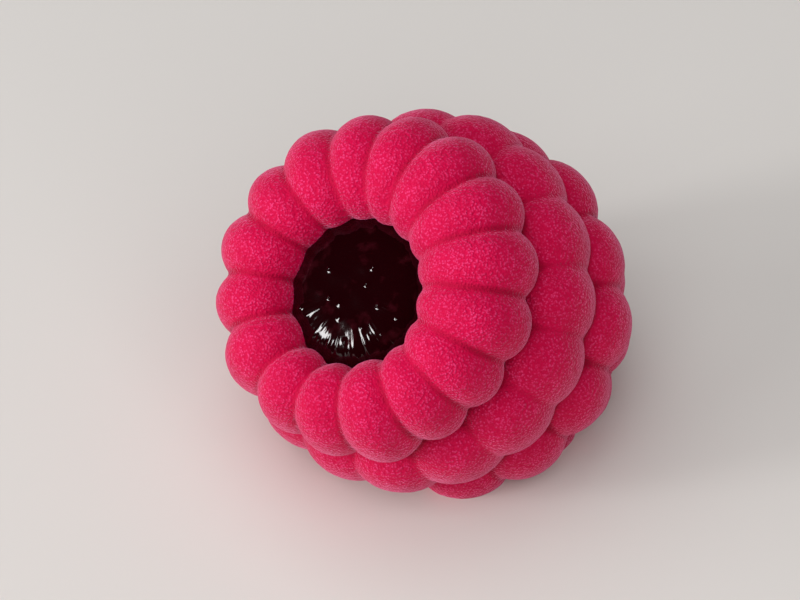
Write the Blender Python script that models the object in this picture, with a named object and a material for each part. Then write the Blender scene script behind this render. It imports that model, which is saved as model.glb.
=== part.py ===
"""A raspberry-shaped mousse dessert, moulded in one piece, with berry gel poured into its hollow.

It lies tilted on a flat foot, with its mouth to the front and up. The berry has axes of its own:
x to the right, y up the mouth's face, z out of the mouth, with zero in the middle of the mouth.
Angles round the berry run anticlockwise from its x, seen from in front of the mouth.
"""
import math
import random

import bmesh
import bpy
from mathutils import Matrix, Vector

MM = 0.001

# Stance
MOUTH_TILT = math.radians(46)
MOUTH_CENTRE = Vector((0.0, -15.4, 38.1)) * MM

# Rim: bent drupelets of uneven width, each a row of balls that runs over the lip into the hollow
RIM_COUNT = 16
RIM_START = 115
RIM_WIDTH_SPREAD = 0.1
RIM_SEED = 3
LIP_RADIUS = 18.0 * MM
LIP_DEPTH = 3.3 * MM
LIP_HALF_WIDTH = 3.5 * MM
LIP_HALF_HEIGHT = 4.0 * MM
LIP_INNER_END = 205
LIP_OUTER_END = -10
INNER_BALL = 3.0 * MM
OUTER_BALL = 6.15 * MM
BALLS = 12
WIDE_SWELL = 0.7

# Rows of drupelets behind the rim, from the mouth to the tip, with their middles on the core's
# surface. Turns are degrees round the core's profile, and half sizes are across, along and proud.
ROW_COUNTS = (16, 14, 13, 10, 5)
ROW_START = 85
ROW_TWIST = 3.5
FIRST_TURN = -16
LAST_TURN = 76
CROWDING = 0.8
LEAST_LEAN = math.radians(6)
FIRST_HALF_SIZE = Vector((8.3, 9.0, 6.9)) * MM
LAST_HALF_SIZE = Vector((6.0, 6.2, 5.0)) * MM
SIZE_SPREAD = 0.03
PLACE_SPREAD = 0.3 * MM
SEED = 7

# Foot: soft mousse spreads a little where it stands
FOOT_SPREAD = 1.2 * MM
FOOT_SPREAD_HEIGHT = 20.0 * MM

# Core under the drupelets, and the hollow in it
CORE_RADIUS = 25.0 * MM
CORE_MIDDLE = 24.0 * MM
CORE_FRONT = 22.5 * MM
CORE_BACK = 31.2 * MM
HOLLOW_RADIUS = 13.6 * MM
HOLLOW_SHOULDER = 7.0 * MM
HOLLOW_DEPTH = 24.0 * MM
HOLLOW_SHIFT = Vector((-0.6, -2.1, 0.0)) * MM
HOLLOW_CUT_TOP = 5.0 * MM

# Gel: a very low dome, level with the mouth
GAP = 0.3 * MM
GEL_DOME_RADIUS = 40.0 * MM
GEL_CROWN = 0.1 * MM

# Facets: the corners stand a little proud, so that the flats lie near the true round
RIM_SIDES = 16
RIM_RINGS = 10
EGG_SIDES = 12
EGG_RINGS = 8
CORE_SIDES = 24
ARC_STEPS = 6
FACET_PROUD = 1.02
CREASE = math.radians(48)


def berry_to_world():
    """Turn the berry's own axes to the tilted stance and put its mouth in place."""
    up, level = math.sin(MOUTH_TILT), math.cos(MOUTH_TILT)
    turn = Matrix(((1, 0, 0), (0, up, -level), (0, level, up)))
    return Matrix.Translation(MOUTH_CENTRE) @ turn.to_4x4()


def face_out(angle, lean):
    """Axes of a drupelet: across, along the berry, and out of its face."""
    out = Vector((math.cos(angle), math.sin(angle), 0))
    across = Vector((-math.sin(angle), math.cos(angle), 0))
    face = out * math.cos(lean) - Vector((0, 0, math.sin(lean)))
    along = face.cross(across)
    return Matrix((across, along, face)).transposed()


def object_from(name, bm):
    """Make an object of a bmesh, with its faces pointing out."""
    bm.normal_update()
    bmesh.ops.recalc_face_normals(bm, faces=bm.faces)
    mesh = bpy.data.meshes.new(name)
    bm.to_mesh(mesh)
    bm.free()
    piece = bpy.data.objects.new(name, mesh)
    bpy.context.scene.collection.objects.link(piece)
    return piece


def reach(direction, balls):
    """How far out along a direction the furthest of the balls ends."""
    furthest = 0.0
    for centre, radius in balls:
        along = direction.dot(centre)
        chord = along * along - centre.length_squared + radius * radius
        if chord > 0:
            furthest = max(furthest, along + math.sqrt(chord))
    return furthest


def rim_drupelet(name, angle, width, extra=0.0):
    """A bent egg over the lip: a sphere's points pushed out to a row of balls along the lip's arc.

    Its inner end follows the hollow, which is a little off the berry's middle.
    """
    swell = (width / math.radians(360 / RIM_COUNT)) ** WIDE_SWELL
    out = Vector((math.cos(angle), math.sin(angle), 0))
    across = Vector((-math.sin(angle), math.cos(angle), 0))
    axes = Matrix((out, across, Vector((0, 0, 1)))).transposed()
    thinner = HOLLOW_SHIFT.dot(out) / 2
    lip = out * (LIP_RADIUS + thinner) - Vector((0, 0, LIP_DEPTH))
    balls = []
    for step in range(BALLS):
        share = step / (BALLS - 1)
        turn = math.radians(LIP_INNER_END + (LIP_OUTER_END - LIP_INNER_END) * share)
        centre = Vector(((LIP_HALF_WIDTH - thinner) * math.cos(turn), 0, LIP_HALF_HEIGHT * math.sin(turn)))
        balls.append((centre, (INNER_BALL + (OUTER_BALL - INNER_BALL) * share) * swell + extra))
    bm = bmesh.new()
    poles_across = Matrix.Rotation(math.pi / 2, 4, "X")
    bmesh.ops.create_uvsphere(bm, u_segments=RIM_SIDES, v_segments=RIM_RINGS, radius=1, matrix=poles_across)
    for vert in bm.verts:
        direction = vert.co.normalized()
        vert.co = lip + axes @ direction * reach(direction, balls) * FACET_PROUD
    bm.transform(berry_to_world())
    return object_from(name, bm)


def rim_widths():
    """Uneven widths in degrees, which go once round the rim."""
    spread = random.Random(RIM_SEED)
    widths = [1 + spread.uniform(-RIM_WIDTH_SPREAD, RIM_WIDTH_SPREAD) for _ in range(RIM_COUNT)]
    return [width * 360 / sum(widths) for width in widths]


def rim_drupelets(extra=0.0):
    """The rim's drupelets, side by side round the mouth."""
    pieces = []
    edge = RIM_START
    for number, width in enumerate(rim_widths()):
        middle = math.radians(edge - width / 2)
        pieces.append(rim_drupelet(f"rim_{number}", middle, math.radians(width), extra))
        edge -= width
    return pieces


def spread_at_foot(point):
    """Move a low point out from the dessert's middle, most at the foot."""
    low = max(0.0, 1 - point.z / FOOT_SPREAD_HEIGHT)
    return point + Vector((point.x, point.y, 0)).normalized() * FOOT_SPREAD * low


def row_place(turn):
    """A row's radius and depth on the core's surface, and how far its faces lean towards the tip."""
    rise = CORE_BACK if turn > 0 else CORE_FRONT
    lean = math.atan2(CORE_RADIUS * math.sin(turn), rise * math.cos(turn))
    return CORE_RADIUS * math.cos(turn), CORE_MIDDLE + rise * math.sin(turn), max(lean, LEAST_LEAN)


def row_drupelets():
    """Rows of eggs sunk into the core, smaller and closer towards the tip.

    Each egg is a little off its place and size.
    """
    spread = random.Random(SEED)
    stance = berry_to_world()
    pieces = []
    for level, count in enumerate(ROW_COUNTS):
        share = level / (len(ROW_COUNTS) - 1)
        turn = math.radians(FIRST_TURN + (LAST_TURN - FIRST_TURN) * share ** CROWDING)
        radius, depth, lean = row_place(turn)
        half_size = FIRST_HALF_SIZE.lerp(LAST_HALF_SIZE, share)
        for number in range(count):
            angle = math.radians(ROW_START + ROW_TWIST * level - 360 / count * (number + 0.5))
            grow = FACET_PROUD * (1 + spread.uniform(-SIZE_SPREAD, SIZE_SPREAD))
            shift = Vector([spread.uniform(-PLACE_SPREAD, PLACE_SPREAD) for _ in range(3)])
            middle = Vector((radius * math.cos(angle), radius * math.sin(angle), -depth))
            middle = spread_at_foot(stance @ (middle + shift))
            axes = stance.to_3x3() @ face_out(angle, lean)
            place = Matrix.Translation(middle) @ axes.to_4x4() @ Matrix.Diagonal((*(half_size * grow), 1))
            bm = bmesh.new()
            bmesh.ops.create_uvsphere(bm, u_segments=EGG_SIDES, v_segments=EGG_RINGS, radius=1, matrix=place)
            pieces.append(object_from(f"row_{level}_{number}", bm))
    return pieces


def quarter_arc(radius, rise, middle, first, last):
    """Points of an ellipse's arc in the profile plane, between two angles above the level."""
    points = []
    for step in range(ARC_STEPS + 1):
        turn = math.radians(first + (last - first) * step / ARC_STEPS)
        points.append((radius * math.cos(turn), middle + rise * math.sin(turn)))
    return points


def turned(name, profile, middle=Vector()):
    """Turn a profile of radius and height round the berry's axis, or one beside it, closed at the axis."""
    bm = bmesh.new()
    verts = [bm.verts.new((radius, 0, height)) for radius, height in profile]
    edges = [bm.edges.new(pair) for pair in zip(verts, verts[1:])]
    bmesh.ops.spin(bm, geom=verts + edges, cent=(0, 0, 0), axis=(0, 0, 1),
                   angle=math.tau, steps=CORE_SIDES, use_duplicate=False)
    bmesh.ops.remove_doubles(bm, verts=bm.verts, dist=0.01 * MM)
    bm.transform(berry_to_world() @ Matrix.Translation(middle))
    return object_from(name, bm)


def hollow_arc(clearance):
    """The hollow's round bottom, from its shoulder down to the axis."""
    return quarter_arc(HOLLOW_RADIUS - clearance, HOLLOW_DEPTH - HOLLOW_SHOULDER - clearance,
                       -HOLLOW_SHOULDER, 0, -90)


def core():
    """The body under the drupelets: a deep egg with the hollow cut into its front."""
    back = quarter_arc(CORE_RADIUS, CORE_BACK, -CORE_MIDDLE, -90, 0)
    front = quarter_arc(CORE_RADIUS, CORE_FRONT, -CORE_MIDDLE, 0, 90)
    egg = turned("core", back + front[1:])
    mouth = [(0, HOLLOW_CUT_TOP), (HOLLOW_RADIUS, HOLLOW_CUT_TOP)]
    return combine(egg, [turned("hollow", mouth + hollow_arc(0), HOLLOW_SHIFT)], "DIFFERENCE")


def gel_blank():
    """The gel before the rim's inner ends are let into it."""
    side = HOLLOW_RADIUS - GAP
    edge_turn = math.degrees(math.acos(side / GEL_DOME_RADIUS))
    dome = quarter_arc(GEL_DOME_RADIUS, GEL_DOME_RADIUS, GEL_CROWN - GEL_DOME_RADIUS, 90, edge_turn)
    return turned("gel_blank", dome + hollow_arc(GAP), HOLLOW_SHIFT)


def combine(piece, others, operation, solver="EXACT"):
    """Join others to a piece, or cut them from it, by one Boolean that is applied."""
    group = bpy.data.collections.new("others")
    bpy.context.scene.collection.children.link(group)
    for other in others:
        bpy.context.scene.collection.objects.unlink(other)
        group.objects.link(other)
    step = piece.modifiers.new("combine", "BOOLEAN")
    step.operation = operation
    step.solver = solver
    step.operand_type = "COLLECTION"
    step.collection = group
    graph = bpy.context.evaluated_depsgraph_get()
    mesh = bpy.data.meshes.new_from_object(piece.evaluated_get(graph))
    piece.modifiers.clear()
    piece.data = mesh
    for other in others:
        bpy.data.objects.remove(other)
    bpy.data.collections.remove(group)
    return piece


def keep_main_shell(piece):
    """Drop loose scraps and fill sealed voids, both of which are small shells of their own."""
    bm = bmesh.new()
    bm.from_mesh(piece.data)
    waiting = set(bm.verts)
    shells = []
    while waiting:
        shell = []
        edge = [waiting.pop()]
        while edge:
            vert = edge.pop()
            shell.append(vert)
            near = [link.other_vert(vert) for link in vert.link_edges]
            fresh = [other for other in near if other in waiting]
            waiting.difference_update(fresh)
            edge.extend(fresh)
        shells.append(shell)
    shells.sort(key=len)
    for scrap in shells[:-1]:
        bmesh.ops.delete(bm, geom=scrap, context="VERTS")
    bm.to_mesh(piece.data)
    bm.free()
    return piece


def ground_block():
    """A block with its top at the surface that the dessert stands on."""
    bm = bmesh.new()
    side = 4 * CORE_RADIUS
    place = Matrix.Translation((0, 0, -side / 2)) @ Matrix.Diagonal((side, side, side, 1))
    bmesh.ops.create_cube(bm, size=1, matrix=place)
    return object_from("ground", bm)


def finish(piece, name, colour, roughness, coat):
    """Name a piece, give it its own material and shade its round faces smooth."""
    piece.name = name
    piece.data.name = name
    material = bpy.data.materials.new(name)
    material.use_nodes = True
    shader = material.node_tree.nodes["Principled BSDF"]
    shader.inputs["Base Color"].default_value = (*colour, 1)
    shader.inputs["Roughness"].default_value = roughness
    shader.inputs["Metallic"].default_value = 0
    shader.inputs["Coat Weight"].default_value = coat
    piece.data.materials.clear()
    piece.data.materials.append(material)
    piece.data.shade_smooth()
    piece.data.set_sharp_from_angle(angle=CREASE)
    return piece


def mousse_body():
    """Core and drupelets as one moulded body, cut flat where it stands.

    EXACT leaves a few open edges where so many eggs meet, so both steps use MANIFOLD.
    """
    body = combine(core(), rim_drupelets() + row_drupelets(), "UNION", "MANIFOLD")
    body = keep_main_shell(combine(body, [ground_block()], "DIFFERENCE", "MANIFOLD"))
    return finish(body, "mousse_body", (0.72, 0.012, 0.1), 0.75, 0)


def berry_gel():
    """Gel that fills the hollow up to a very low dome, clear of the rim's inner ends."""
    gel = combine(gel_blank(), rim_drupelets(GAP), "DIFFERENCE")
    return finish(gel, "berry_gel", (0.018, 0.002, 0.005), 0.08, 1)


for thing in list(bpy.data.objects):
    bpy.data.objects.remove(thing)
mousse_body()
berry_gel()
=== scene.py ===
import math
import random

import bpy
import numpy as np
from mathutils import Matrix, Vector, noise


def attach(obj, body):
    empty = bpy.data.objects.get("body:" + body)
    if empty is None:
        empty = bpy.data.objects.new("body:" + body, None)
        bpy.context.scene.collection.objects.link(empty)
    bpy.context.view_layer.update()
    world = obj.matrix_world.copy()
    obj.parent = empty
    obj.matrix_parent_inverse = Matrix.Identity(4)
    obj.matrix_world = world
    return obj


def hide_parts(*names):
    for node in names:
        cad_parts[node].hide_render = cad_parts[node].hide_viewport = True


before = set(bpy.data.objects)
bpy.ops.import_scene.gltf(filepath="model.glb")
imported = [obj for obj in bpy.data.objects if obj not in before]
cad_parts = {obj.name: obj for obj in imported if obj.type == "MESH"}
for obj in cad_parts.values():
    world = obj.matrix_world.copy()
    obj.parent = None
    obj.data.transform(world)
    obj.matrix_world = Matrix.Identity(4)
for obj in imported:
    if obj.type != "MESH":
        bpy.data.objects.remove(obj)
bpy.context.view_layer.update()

# Mousse body: raspberry mousse set in a mould, so that the drupelets and the body under them are
# one piece. It lies tilted on the flat face that it was levelled to. Its own axes are x to the
# right, y up the mouth's face and z out of the mouth, from the middle of the mouth.
MM = 0.001
MOUTH_TILT = math.radians(46)
MOUTH_CENTRE = Vector((0.0, -15.4, 38.1)) * MM
level, up = math.cos(MOUTH_TILT), math.sin(MOUTH_TILT)
BERRY = Matrix.Translation(MOUTH_CENTRE) @ Matrix(((1, 0, 0), (0, up, -level), (0, level, up))).to_4x4()

CORE_RADIUS = 25.0 * MM
CORE_MIDDLE = 24.0 * MM
CORE_FRONT = 22.5 * MM
CORE_BACK = 31.2 * MM
HOLLOW_RADIUS = 13.6 * MM
HOLLOW_SHOULDER = 7.0 * MM
HOLLOW_DEPTH = 24.0 * MM
HOLLOW_SHIFT = Vector((-0.6, -2.1, 0.0)) * MM
VOXEL = 0.42 * MM


def activate(piece):
    """Select one object alone and make it the active one."""
    bpy.ops.object.select_all(action="DESELECT")
    piece.select_set(True)
    bpy.context.view_layer.objects.active = piece
    return piece


def edit(piece, action):
    """Run one edit-mode step on all of a piece's mesh."""
    activate(piece)
    bpy.ops.object.mode_set(mode="EDIT")
    bpy.ops.mesh.select_all(action="SELECT")
    action()
    bpy.ops.object.mode_set(mode="OBJECT")


def modify(piece, kind, **settings):
    """Add a modifier with its settings and apply it."""
    activate(piece)
    modifier = piece.modifiers.new(kind.lower(), kind)
    for name, value in settings.items():
        setattr(modifier, name, value)
    bpy.ops.object.modifier_apply(modifier=modifier.name)


def copy_to(pattern, name, place):
    """A copy of a piece with its own mesh, moved by a matrix."""
    mesh = pattern.data.copy()
    mesh.transform(place)
    piece = bpy.data.objects.new(name, mesh)
    bpy.context.scene.collection.objects.link(piece)
    return piece


def join(name, pieces):
    """Join pieces into the first of them."""
    activate(pieces[0])
    for piece in pieces:
        piece.select_set(True)
    bpy.ops.object.join()
    pieces[0].name = name
    return pieces[0]


bpy.ops.mesh.primitive_uv_sphere_add(segments=48, ring_count=24, radius=1)
core = bpy.context.object
core.name = "mousse"
for vert in core.data.vertices:
    depth = CORE_BACK if vert.co.z < 0 else CORE_FRONT
    vert.co = (vert.co.x * CORE_RADIUS, vert.co.y * CORE_RADIUS, vert.co.z * depth - CORE_MIDDLE)

bpy.ops.mesh.primitive_uv_sphere_add(segments=48, ring_count=24, radius=1)
hollow = bpy.context.object
for vert in hollow.data.vertices:
    depth = HOLLOW_DEPTH - HOLLOW_SHOULDER if vert.co.z < 0 else 2 * HOLLOW_SHOULDER
    vert.co = (vert.co.x * HOLLOW_RADIUS, vert.co.y * HOLLOW_RADIUS, vert.co.z * depth - HOLLOW_SHOULDER)
hollow.data.transform(Matrix.Translation(HOLLOW_SHIFT))
modify(core, "BOOLEAN", operation="DIFFERENCE", object=hollow)
bpy.data.objects.remove(hollow)
core.data.transform(BERRY)

# Rim drupelets: sixteen bent eggs of uneven width that run over the lip into the hollow. Each is
# laid up as a row of balls along the lip's arc, which the remesh below melts into one.
RIM_COUNT = 16
RIM_START = 115
RIM_WIDTH_SPREAD = 0.1
RIM_SEED = 3
LIP_RADIUS = 18.0 * MM
LIP_DEPTH = 3.3 * MM
LIP_HALF_WIDTH = 3.5 * MM
LIP_HALF_HEIGHT = 4.0 * MM
LIP_INNER_END = 205
LIP_OUTER_END = -10
INNER_BALL = 3.0 * MM
OUTER_BALL = 6.15 * MM
BALLS = 28
WIDE_SWELL = 0.7

bpy.ops.mesh.primitive_uv_sphere_add(segments=32, ring_count=16, radius=1)
ball = bpy.context.object
drupelets = []
edge_angle = RIM_START
spread = random.Random(RIM_SEED)
widths = [1 + spread.uniform(-RIM_WIDTH_SPREAD, RIM_WIDTH_SPREAD) for _ in range(RIM_COUNT)]
for number, width in enumerate(width * 360 / sum(widths) for width in widths):
    angle = math.radians(edge_angle - width / 2)
    edge_angle -= width
    swell = (width * RIM_COUNT / 360) ** WIDE_SWELL
    out = Vector((math.cos(angle), math.sin(angle), 0))
    thinner = HOLLOW_SHIFT.dot(out) / 2
    for step in range(BALLS):
        share = step / (BALLS - 1)
        turn = math.radians(LIP_INNER_END + (LIP_OUTER_END - LIP_INNER_END) * share)
        middle = out * (LIP_RADIUS + thinner + (LIP_HALF_WIDTH - thinner) * math.cos(turn))
        middle.z = LIP_HALF_HEIGHT * math.sin(turn) - LIP_DEPTH
        radius = (INNER_BALL + (OUTER_BALL - INNER_BALL) * share) * swell
        place = BERRY @ Matrix.Translation(middle) @ Matrix.Scale(radius, 4)
        drupelets.append(copy_to(ball, f"rim_{number}_{step}", place))

# Rows of drupelets behind the rim, from the mouth to the tip: plain eggs with their middles on the
# body's surface, smaller and closer towards the tip, each a little off its place and size. Turns
# are degrees round the body's profile, and half sizes are across, along and proud. The lowest
# ones spread a little, as soft mousse does where it stands.
ROW_COUNTS = (16, 14, 13, 10, 5)
ROW_START = 85
ROW_TWIST = 3.5
FIRST_TURN = -16
LAST_TURN = 76
CROWDING = 0.8
LEAST_LEAN = math.radians(6)
FIRST_HALF_SIZE = Vector((8.3, 9.0, 6.9)) * MM
LAST_HALF_SIZE = Vector((6.0, 6.2, 5.0)) * MM
SIZE_SPREAD = 0.03
PLACE_SPREAD = 0.3 * MM
SEED = 7
FOOT_SPREAD = 1.2 * MM
FOOT_SPREAD_HEIGHT = 20.0 * MM

spread = random.Random(SEED)
for level, count in enumerate(ROW_COUNTS):
    share = level / (len(ROW_COUNTS) - 1)
    turn = math.radians(FIRST_TURN + (LAST_TURN - FIRST_TURN) * share ** CROWDING)
    rise = CORE_BACK if turn > 0 else CORE_FRONT
    row_radius = CORE_RADIUS * math.cos(turn)
    row_depth = CORE_MIDDLE + rise * math.sin(turn)
    lean = max(math.atan2(CORE_RADIUS * math.sin(turn), rise * math.cos(turn)), LEAST_LEAN)
    half_size = FIRST_HALF_SIZE.lerp(LAST_HALF_SIZE, share)
    for number in range(count):
        angle = math.radians(ROW_START + ROW_TWIST * level - 360 / count * (number + 0.5))
        grow = 1 + spread.uniform(-SIZE_SPREAD, SIZE_SPREAD)
        shift = Vector([spread.uniform(-PLACE_SPREAD, PLACE_SPREAD) for _ in range(3)])
        out = Vector((math.cos(angle), math.sin(angle), 0))
        across = Vector((-math.sin(angle), math.cos(angle), 0))
        face = out * math.cos(lean) - Vector((0, 0, math.sin(lean)))
        axes = Matrix((across, face.cross(across), face)).transposed().to_4x4()
        middle = BERRY @ (out * row_radius - Vector((0, 0, row_depth)) + shift)
        low = max(0.0, 1 - middle.z / FOOT_SPREAD_HEIGHT)
        middle += Vector((middle.x, middle.y, 0)).normalized() * FOOT_SPREAD * low
        size = Matrix.Diagonal((*(half_size * grow), 1))
        place = Matrix.Translation(middle) @ BERRY.to_3x3().to_4x4() @ axes @ size
        drupelets.append(copy_to(ball, f"row_{level}_{number}", place))
bpy.data.objects.remove(ball)

# The mould leaves a small fillet in every crease, which a fine remesh and a light smoothing give.
# The foot is then cut level, as the mould is scraped off flat.
UNEVEN_SIZE = 2.6 * MM
UNEVEN_HEIGHT = 0.12 * MM
CREASE_DEPTH = 0.8 * MM
CREASE_PASSES = 60
KEPT_SHARE = 0.75

mousse = join("mousse", [core] + drupelets)
modify(mousse, "REMESH", mode="VOXEL", voxel_size=VOXEL)
modify(mousse, "SMOOTH", factor=0.5, iterations=1)
uneven = bpy.data.textures.new("mould_unevenness", "CLOUDS")
uneven.noise_scale = UNEVEN_SIZE
modify(mousse, "DISPLACE", texture=uneven, strength=UNEVEN_HEIGHT, mid_level=0.55)


def note_relief(piece):
    """Store each point's place between crest and crease, from -1 to 1, as an attribute."""
    mesh = piece.data
    points = np.empty(len(mesh.vertices) * 3)
    mesh.vertices.foreach_get("co", points)
    points = points.reshape(-1, 3)
    ends = np.empty(len(mesh.edges) * 2, dtype=np.int32)
    mesh.edges.foreach_get("vertices", ends)
    first, second = ends.reshape(-1, 2).T
    neighbours = np.bincount(ends, minlength=len(points))
    even = points.T.copy()
    for _ in range(CREASE_PASSES):
        for axis in even:
            axis[:] = (np.bincount(first, axis[second], len(axis))
                       + np.bincount(second, axis[first], len(axis))) / neighbours
    normals = np.empty(len(mesh.vertices) * 3)
    mesh.vertex_normals.foreach_get("vector", normals)
    depth = ((even.T - points) * normals.reshape(-1, 3)).sum(axis=1)
    relief = mesh.attributes.new("relief", "FLOAT", "POINT")
    relief.data.foreach_set("value", np.clip(depth / CREASE_DEPTH, -1, 1))


# The relief attribute also drives the painted shade laid into the creases.
note_relief(mousse)
modify(mousse, "DECIMATE", ratio=KEPT_SHARE)
edit(mousse, lambda: bpy.ops.mesh.bisect(plane_co=(0, 0, 0), plane_no=(0, 0, 1), clear_inner=True,
                                         use_fill=True, threshold=1e-6))
activate(mousse)
bpy.ops.object.shade_smooth()
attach(mousse, "root")
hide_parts("mousse_body")


def linear(code):
    """An sRGB hex colour as linear RGBA."""
    channels = [int(code[i:i + 2], 16) / 255 for i in (0, 2, 4)]
    return (*(c / 12.92 if c <= 0.04045 else ((c + 0.055) / 1.055) ** 2.4 for c in channels), 1)


def material(name, piece):
    """Give a piece a fresh node material and return its tree and its shader."""
    made = bpy.data.materials.new(name)
    made.use_nodes = True
    piece.data.materials.clear()
    piece.data.materials.append(made)
    return made.node_tree, made.node_tree.nodes["Principled BSDF"]


def node(tree, kind, links=(), **settings):
    """Add a node. Settings are its properties or inputs, and links are (input, source socket)."""
    added = tree.nodes.new(kind)
    for name, value in settings.items():
        if hasattr(added, name):
            setattr(added, name, value)
        else:
            added.inputs[name.replace("_", " ").title()].default_value = value
    for target, source in links:
        tree.links.new(source, added.inputs[target])
    return added


# Velvet: cocoa butter with raspberry colour, sprayed on the frozen mousse, where it sets in fine
# beads. It is matt and deep red face on. The beads' tops are paler, partly as grain and partly as a
# painted highlight for glints on the beads, and they are kept out of the creases, where a darker red
# is laid as painted shade. Seen from the side the velvet gives a dusty pink sheen. The scraped edge
# of the foot stays bare.
VELVET_FACE = "CC0044"
VELVET_BLOTCH = "BA003A"
# Paler bead tops: grain, and partly a painted highlight that stands for glints on the beads.
PALE_BEAD_TOP_AND_HIGHLIGHT = "F04888"
# Painted shade: a darker red laid into the creases, where shade falls between the drupelets.
PAINTED_CREASE_SHADE = "96002A"
BARE_MOUSSE = "EFD3C6"
BEAD = 0.42 * MM
FINE_GRAIN = 0.26 * MM
BEAD_HEIGHT = 0.18 * MM
BLOTCH = 4.0 * MM
BARE_HEIGHT = 0.12 * MM

tree, shader = material("sprayed_cocoa_butter_velvet", mousse)
place = node(tree, "ShaderNodeTexCoord").outputs["Object"]
relief = node(tree, "ShaderNodeAttribute", attribute_name="relief").outputs["Fac"]
cells = node(tree, "ShaderNodeTexVoronoi", [("Vector", place)], feature="SMOOTH_F1", scale=1 / BEAD,
             smoothness=0.35).outputs["Distance"]
fine = node(tree, "ShaderNodeTexNoise", [("Vector", place)], scale=1 / FINE_GRAIN, detail=2.0).outputs["Fac"]
blotch = node(tree, "ShaderNodeTexNoise", [("Vector", place)], scale=1 / BLOTCH, detail=3.0).outputs["Fac"]
beads = node(tree, "ShaderNodeMath", [(0, fine), (1, cells)], operation="SUBTRACT").outputs[0]
bump = node(tree, "ShaderNodeBump", [("Height", beads)], strength=1.0, distance=BEAD_HEIGHT)
# Pale bead tops: partly grain, partly painted highlight.
tops = node(tree, "ShaderNodeMapRange", [("Value", beads)], from_min=0.0, from_max=0.4, to_max=0.65)
patchy = node(tree, "ShaderNodeMapRange", [("Value", blotch)], from_min=0.38, from_max=0.62, to_min=0.6)
# The pale tops are kept out of the creases, so the creases stay dark as painted shade.
clear_of_painted_crease_shade = node(tree, "ShaderNodeMapRange", [("Value", relief)], from_min=0.35, from_max=-0.1)
shown = node(tree, "ShaderNodeMath", [(0, tops.outputs[0]), (1, patchy.outputs[0])], operation="MULTIPLY")
pale_grain_and_highlight = node(tree, "ShaderNodeMath", [(0, shown.outputs[0]), (1, clear_of_painted_crease_shade.outputs[0])], operation="MULTIPLY")
# Painted shade: the creases, found from the relief attribute, are mixed towards a darker red.
painted_crease_shade_mask = node(tree, "ShaderNodeMapRange", [("Value", relief)], from_min=0.15, from_max=0.75)
face = node(tree, "ShaderNodeMix", [("Factor", blotch)], data_type="RGBA", a=linear(VELVET_BLOTCH),
            b=linear(VELVET_FACE))
grain_and_painted_highlight = node(tree, "ShaderNodeMix", [("Factor", pale_grain_and_highlight.outputs[0]), ("A", face.outputs["Result"])],
             data_type="RGBA", b=linear(PALE_BEAD_TOP_AND_HIGHLIGHT))
with_painted_crease_shade = node(tree, "ShaderNodeMix", [("Factor", painted_crease_shade_mask.outputs[0]), ("A", grain_and_painted_highlight.outputs["Result"])],
            data_type="RGBA", b=linear(PAINTED_CREASE_SHADE))
height = node(tree, "ShaderNodeSeparateXYZ", [("Vector", place)]).outputs["Z"]
bare_edge = node(tree, "ShaderNodeMath", [(0, blotch), (2, height)], operation="MULTIPLY_ADD")
bare_edge.inputs[1].default_value = BARE_HEIGHT
bare = node(tree, "ShaderNodeMapRange", [("Value", bare_edge.outputs[0])], from_min=BARE_HEIGHT,
            from_max=0.8 * BARE_HEIGHT)
coat = node(tree, "ShaderNodeMix", [("Factor", bare.outputs[0]), ("A", with_painted_crease_shade.outputs["Result"])],
            data_type="RGBA", b=linear(BARE_MOUSSE))
gloss = node(tree, "ShaderNodeMapRange", [("Value", beads)], from_min=0.2, from_max=0.5, to_min=0.6,
             to_max=0.25)
tree.links.new(coat.outputs["Result"], shader.inputs["Base Color"])
tree.links.new(gloss.outputs[0], shader.inputs["Roughness"])
tree.links.new(bump.outputs["Normal"], shader.inputs["Normal"])
shader.inputs["Specular IOR Level"].default_value = 0.15
shader.inputs["Sheen Weight"].default_value = 0.75
shader.inputs["Sheen Roughness"].default_value = 0.3
shader.inputs["Sheen Tint"].default_value = linear("FF9CC8")

# Berry gel: strained berry juice set with pectin, poured into the hollow. Its skin is a flat-topped
# cushion that rolls down to the mousse, with small bubbles under it and wrinkles gathered on one side.
GEL_EDGE = 14.2 * MM
GEL_CROWN = 0.6 * MM
GEL_DROP = 5.5 * MM
GEL_FLATNESS = 6
GEL_SIDES = 360
GEL_RINGS = 84
GEL_BODY_DEPTH = 9.0 * MM
GEL_BODY_TAPER = 0.6
WRINKLE_START = 5.5 * MM
WRINKLE_HEIGHT = 0.25 * MM
WRINKLE_LENGTH = 9.0 * MM
WRINKLE_PATCH = 2.2 * MM
WRINKLES = 18.0
GATHERED_SIDE = Vector((0.6, -0.8, 0))
UNGATHERED = 0.12
WRINKLE_RAMP = 1.6
PATCH_EVEN = 0.7
PATCH_SWING = 1.6
LUMP_SIZE = 3.0 * MM
LUMP_HEIGHT = 0.1 * MM
BUBBLES = 15
BUBBLE_REACH = 0.8
BUBBLE_HALF_WIDTH = (0.3 * MM, 0.55 * MM)
BUBBLE_HEIGHT = (0.1 * MM, 0.25 * MM)
BUBBLE_SEED = 5

spread = random.Random(BUBBLE_SEED)
bubbles = []
for _ in range(BUBBLES):
    angle = spread.uniform(0, math.tau)
    from_middle = GEL_EDGE * BUBBLE_REACH * math.sqrt(spread.random())
    bubbles.append((Vector((math.cos(angle), math.sin(angle), 0)) * from_middle,
                    spread.uniform(*BUBBLE_HALF_WIDTH), spread.uniform(*BUBBLE_HEIGHT)))

bpy.ops.mesh.primitive_circle_add(vertices=GEL_SIDES, radius=GEL_EDGE, fill_type="NGON")
gel = bpy.context.object
gel.name = "berry_gel_dome"


def inset_rings():
    """Shrink the disc's face into rings, down to a small middle face."""
    for _ in range(GEL_RINGS):
        bpy.ops.mesh.inset(thickness=GEL_EDGE / (GEL_RINGS + 1), depth=0)
    bpy.ops.mesh.poke()


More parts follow.
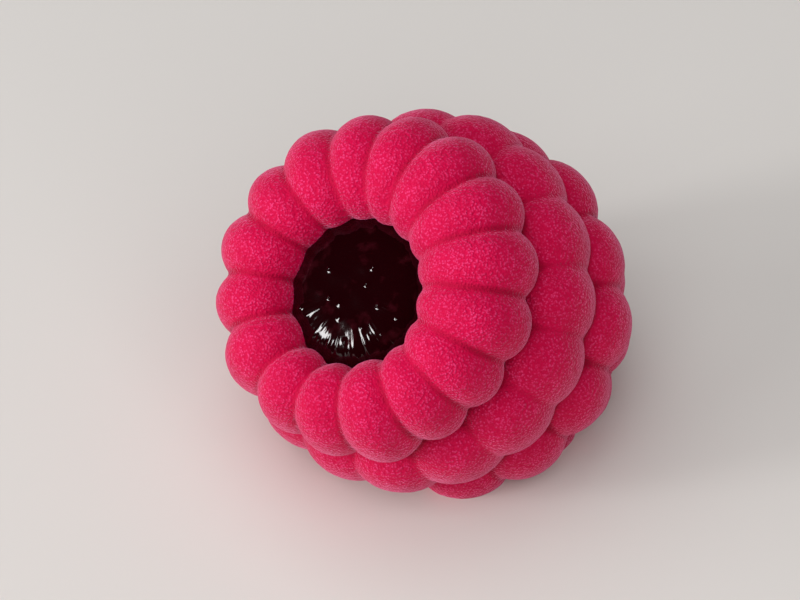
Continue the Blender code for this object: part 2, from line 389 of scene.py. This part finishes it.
edit(gel, inset_rings)
for vert in gel.data.vertices:
    flat = Vector((vert.co.x, vert.co.y, 0))
    away = flat.normalized()
    outward = min(1.0, max(0.0, (flat.length - WRINKLE_START) / (GEL_EDGE - WRINKLE_START) * WRINKLE_RAMP))
    gathered = UNGATHERED + (1 - UNGATHERED) * max(0.0, away.dot(GATHERED_SIDE))
    streak = noise.noise(away * WRINKLES + Vector((0, 0, flat.length / WRINKLE_LENGTH)))
    streak *= PATCH_EVEN + PATCH_SWING * noise.noise(flat / WRINKLE_PATCH + Vector((0, 0, 4)))
    lump = noise.noise(flat / LUMP_SIZE)
    vert.co.z = (GEL_CROWN - GEL_DROP * (flat.length / GEL_EDGE) ** GEL_FLATNESS
                 + WRINKLE_HEIGHT * outward * gathered * streak + LUMP_HEIGHT * lump)
    for middle, half_width, bubble_height in bubbles:
        off = (flat - middle).length / half_width
        vert.co.z += bubble_height * math.exp(-off * off)


def close_under():
    """Draw the rim of the dome down and close it into a solid."""
    bpy.ops.mesh.select_all(action="DESELECT")
    bpy.ops.mesh.select_non_manifold()
    bpy.ops.mesh.extrude_region_move(TRANSFORM_OT_translate={"value": (0, 0, -GEL_BODY_DEPTH)})
    bpy.ops.transform.resize(value=(GEL_BODY_TAPER, GEL_BODY_TAPER, 1))
    bpy.ops.mesh.edge_face_add()


edit(gel, close_under)
gel.data.transform(BERRY @ Matrix.Translation(HOLLOW_SHIFT))
activate(gel)
bpy.ops.object.shade_smooth()
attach(gel, "root")
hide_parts("berry_gel")

# Set gel is clear, but so deep in colour that it looks black, with a few burgundy patches where
# shreds of berry lie near the skin. The skin is wet and glossy.
GEL_DARK = "160103"
GEL_RED = "30080F"
PATCH = 2.4 * MM

tree, shader = material("set_berry_gel", gel)
place = node(tree, "ShaderNodeTexCoord").outputs["Object"]
patch = node(tree, "ShaderNodeTexNoise", [("Vector", place)], scale=1 / PATCH, detail=3.0).outputs["Fac"]
few = node(tree, "ShaderNodeMapRange", [("Value", patch)], from_min=0.56, from_max=0.8)
tone = node(tree, "ShaderNodeMix", [("Factor", few.outputs[0])], data_type="RGBA", a=linear(GEL_DARK),
            b=linear(GEL_RED))
tree.links.new(tone.outputs["Result"], shader.inputs["Base Color"])
shader.inputs["Roughness"].default_value = 0.08
shader.inputs["IOR"].default_value = 1.38

# Stage: a pale level surface, a small low window to the left that shows in the gel, a wide soft
# light round it, and soft light from above and from the camera's right.
FLOOR = "DAD6D2"
bpy.ops.mesh.primitive_plane_add(size=4)
floor = bpy.context.object
floor.name = "floor"
tree, shader = material("pale_matt_surface", floor)
shader.inputs["Base Color"].default_value = linear(FLOOR)
shader.inputs["Roughness"].default_value = 0.6

CAMERA_AROUND = math.radians(43)
CAMERA_ABOVE = math.radians(45)
CAMERA_AWAY = 450 * MM
FOCAL_PIXELS = 2900
MOUTH_PIXEL = (363, 282)
FRAME_PIXELS = (800, 600)
SENSOR = 36

back = Vector((math.sin(CAMERA_AROUND) * math.cos(CAMERA_ABOVE),
               -math.cos(CAMERA_AROUND) * math.cos(CAMERA_ABOVE), math.sin(CAMERA_ABOVE)))
right = Vector((math.cos(CAMERA_AROUND), math.sin(CAMERA_AROUND), 0))
above = back.cross(right)
pixel = CAMERA_AWAY / FOCAL_PIXELS
aim = (MOUTH_CENTRE + right * (FRAME_PIXELS[0] / 2 - MOUTH_PIXEL[0]) * pixel
       - above * (FRAME_PIXELS[1] / 2 - MOUTH_PIXEL[1]) * pixel)
camera = bpy.data.objects.new("camera", bpy.data.cameras.new("camera"))
bpy.context.scene.collection.objects.link(camera)
camera.data.sensor_width = SENSOR
camera.data.lens = FOCAL_PIXELS / FRAME_PIXELS[0] * SENSOR
camera.data.clip_start = 0.01
camera.location = aim + back * CAMERA_AWAY
camera.rotation_euler = back.to_track_quat("Z", "Y").to_euler()
bpy.context.scene.camera = camera


def light(name, direction, away, size, power, colour, shows_in_gloss=True):
    """A rectangular soft light that faces the dessert from a direction."""
    lamp = bpy.data.lights.new(name, "AREA")
    lamp.shape = "RECTANGLE"
    lamp.size, lamp.size_y = size
    lamp.energy = power
    lamp.color = linear(colour)[:3]
    stand = bpy.data.objects.new(name, lamp)
    bpy.context.scene.collection.objects.link(stand)
    towards = Vector(direction).normalized()
    stand.location = Vector((0, 0, 0.03)) + towards * away
    stand.rotation_euler = towards.to_track_quat("Z", "Y").to_euler()
    stand.visible_glossy = shows_in_gloss
    return stand


WINDOW_SIDE = (-0.48, -0.84, 0.30)
light("window", WINDOW_SIDE, 1.3, (0.22, 0.28), 5.5, "FFFFFF")
light("window_curtain", WINDOW_SIDE, 1.2, (1.0, 0.7), 7.5, "FFFFFF", shows_in_gloss=False)
light("ceiling", (-0.3, -0.1, 1.0), 1.2, (1.2, 1.2), 5.5, "FFFFFF", shows_in_gloss=False)
light("camera_side", (0.6, -0.55, 0.8), 1.2, (1.4, 1.4), 10, "FFFFFF", shows_in_gloss=False)

world = bpy.data.worlds.new("room")
bpy.context.scene.world = world
world.use_nodes = True
world.node_tree.nodes["Background"].inputs["Color"].default_value = linear("F4F4F6")
world.node_tree.nodes["Background"].inputs["Strength"].default_value = 0.16
world.cycles_visibility.glossy = False
bpy.context.scene.view_settings.view_transform = "Standard"
